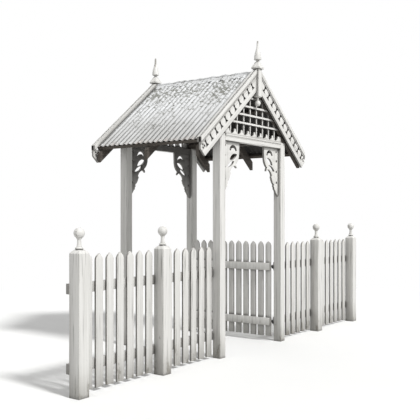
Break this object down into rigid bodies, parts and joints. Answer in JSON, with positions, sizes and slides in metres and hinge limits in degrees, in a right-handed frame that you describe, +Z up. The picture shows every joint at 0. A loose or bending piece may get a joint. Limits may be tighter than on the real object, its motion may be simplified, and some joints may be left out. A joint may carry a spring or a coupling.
{
  "type": "timber gate",
  "caption": "Roofed timber garden gate with a gabled corrugated iron roof, fretwork brackets, pierced bargeboards, finials, a hinged picket leaf and picket fences.",
  "frame": {"origin": "ground level, midway between the four gatehouse posts", "axes": "+X along the street to the right as seen from the street, +Y from the street into the property, +Z up"},
  "size_m": [5.845, 1.721, 3.73],
  "materials": {
    "painted_timber": "white house paint, weathered matt",
    "painted_fretwork": "white house paint on sawn fretwork, weathered matt",
    "roof_iron": "galvanised corrugated iron, dull with lichen stains",
    "hinge_iron": "black painted wrought iron, satin",
    "roof_timber": "bare sawn softwood, dry"
  },
  "bodies": {
    "gatehouse": {"post_front_left": "painted_timber", "post_front_right": "painted_timber", "post_rear_left": "painted_timber", "post_rear_right": "painted_timber", "tie_beam_front": "painted_timber", "tie_beam_rear": "painted_timber", "wall_plate_left": "roof_timber", "wall_plate_right": "roof_timber", "rafters": "roof_timber", "ridge_board": "roof_timber", "roof_battens": "roof_timber", "roof_sheet_left": "roof_iron", "roof_sheet_right": "roof_iron", "ridge_capping": "roof_iron", "bargeboard_front_left": "painted_timber", "bargeboard_front_right": "painted_timber", "bargeboard_rear_left": "painted_timber", "bargeboard_rear_right": "painted_timber", "finial_front": "painted_timber", "finial_rear": "painted_timber", "gable_lattice_front": "painted_fretwork", "gable_lattice_rear": "painted_fretwork", "bracket_front_left": "painted_fretwork", "bracket_front_right": "painted_fretwork", "bracket_rear_left": "painted_fretwork", "bracket_rear_right": "painted_fretwork", "fence_post_left_inner": "painted_timber", "fence_post_left_outer": "painted_timber", "fence_post_right_inner": "painted_timber", "fence_post_right_outer": "painted_timber", "fence_panel_left_inner": "painted_timber", "fence_panel_left_outer": "painted_timber", "fence_panel_right_inner": "painted_timber", "fence_panel_right_outer": "painted_timber", "hinge_pins": "hinge_iron"},
    "leaf": {"gate_leaf": "painted_timber", "hinge_straps": "hinge_iron"}
  },
  "joints": [
    {"name": "leaf_hinge", "type": "hinge", "parent": "gatehouse", "child": "leaf", "pos_m": [0.6215, -0.6435, 0.6], "axis": [0, 0, 1], "range_deg": [0, 90]}
  ]
}
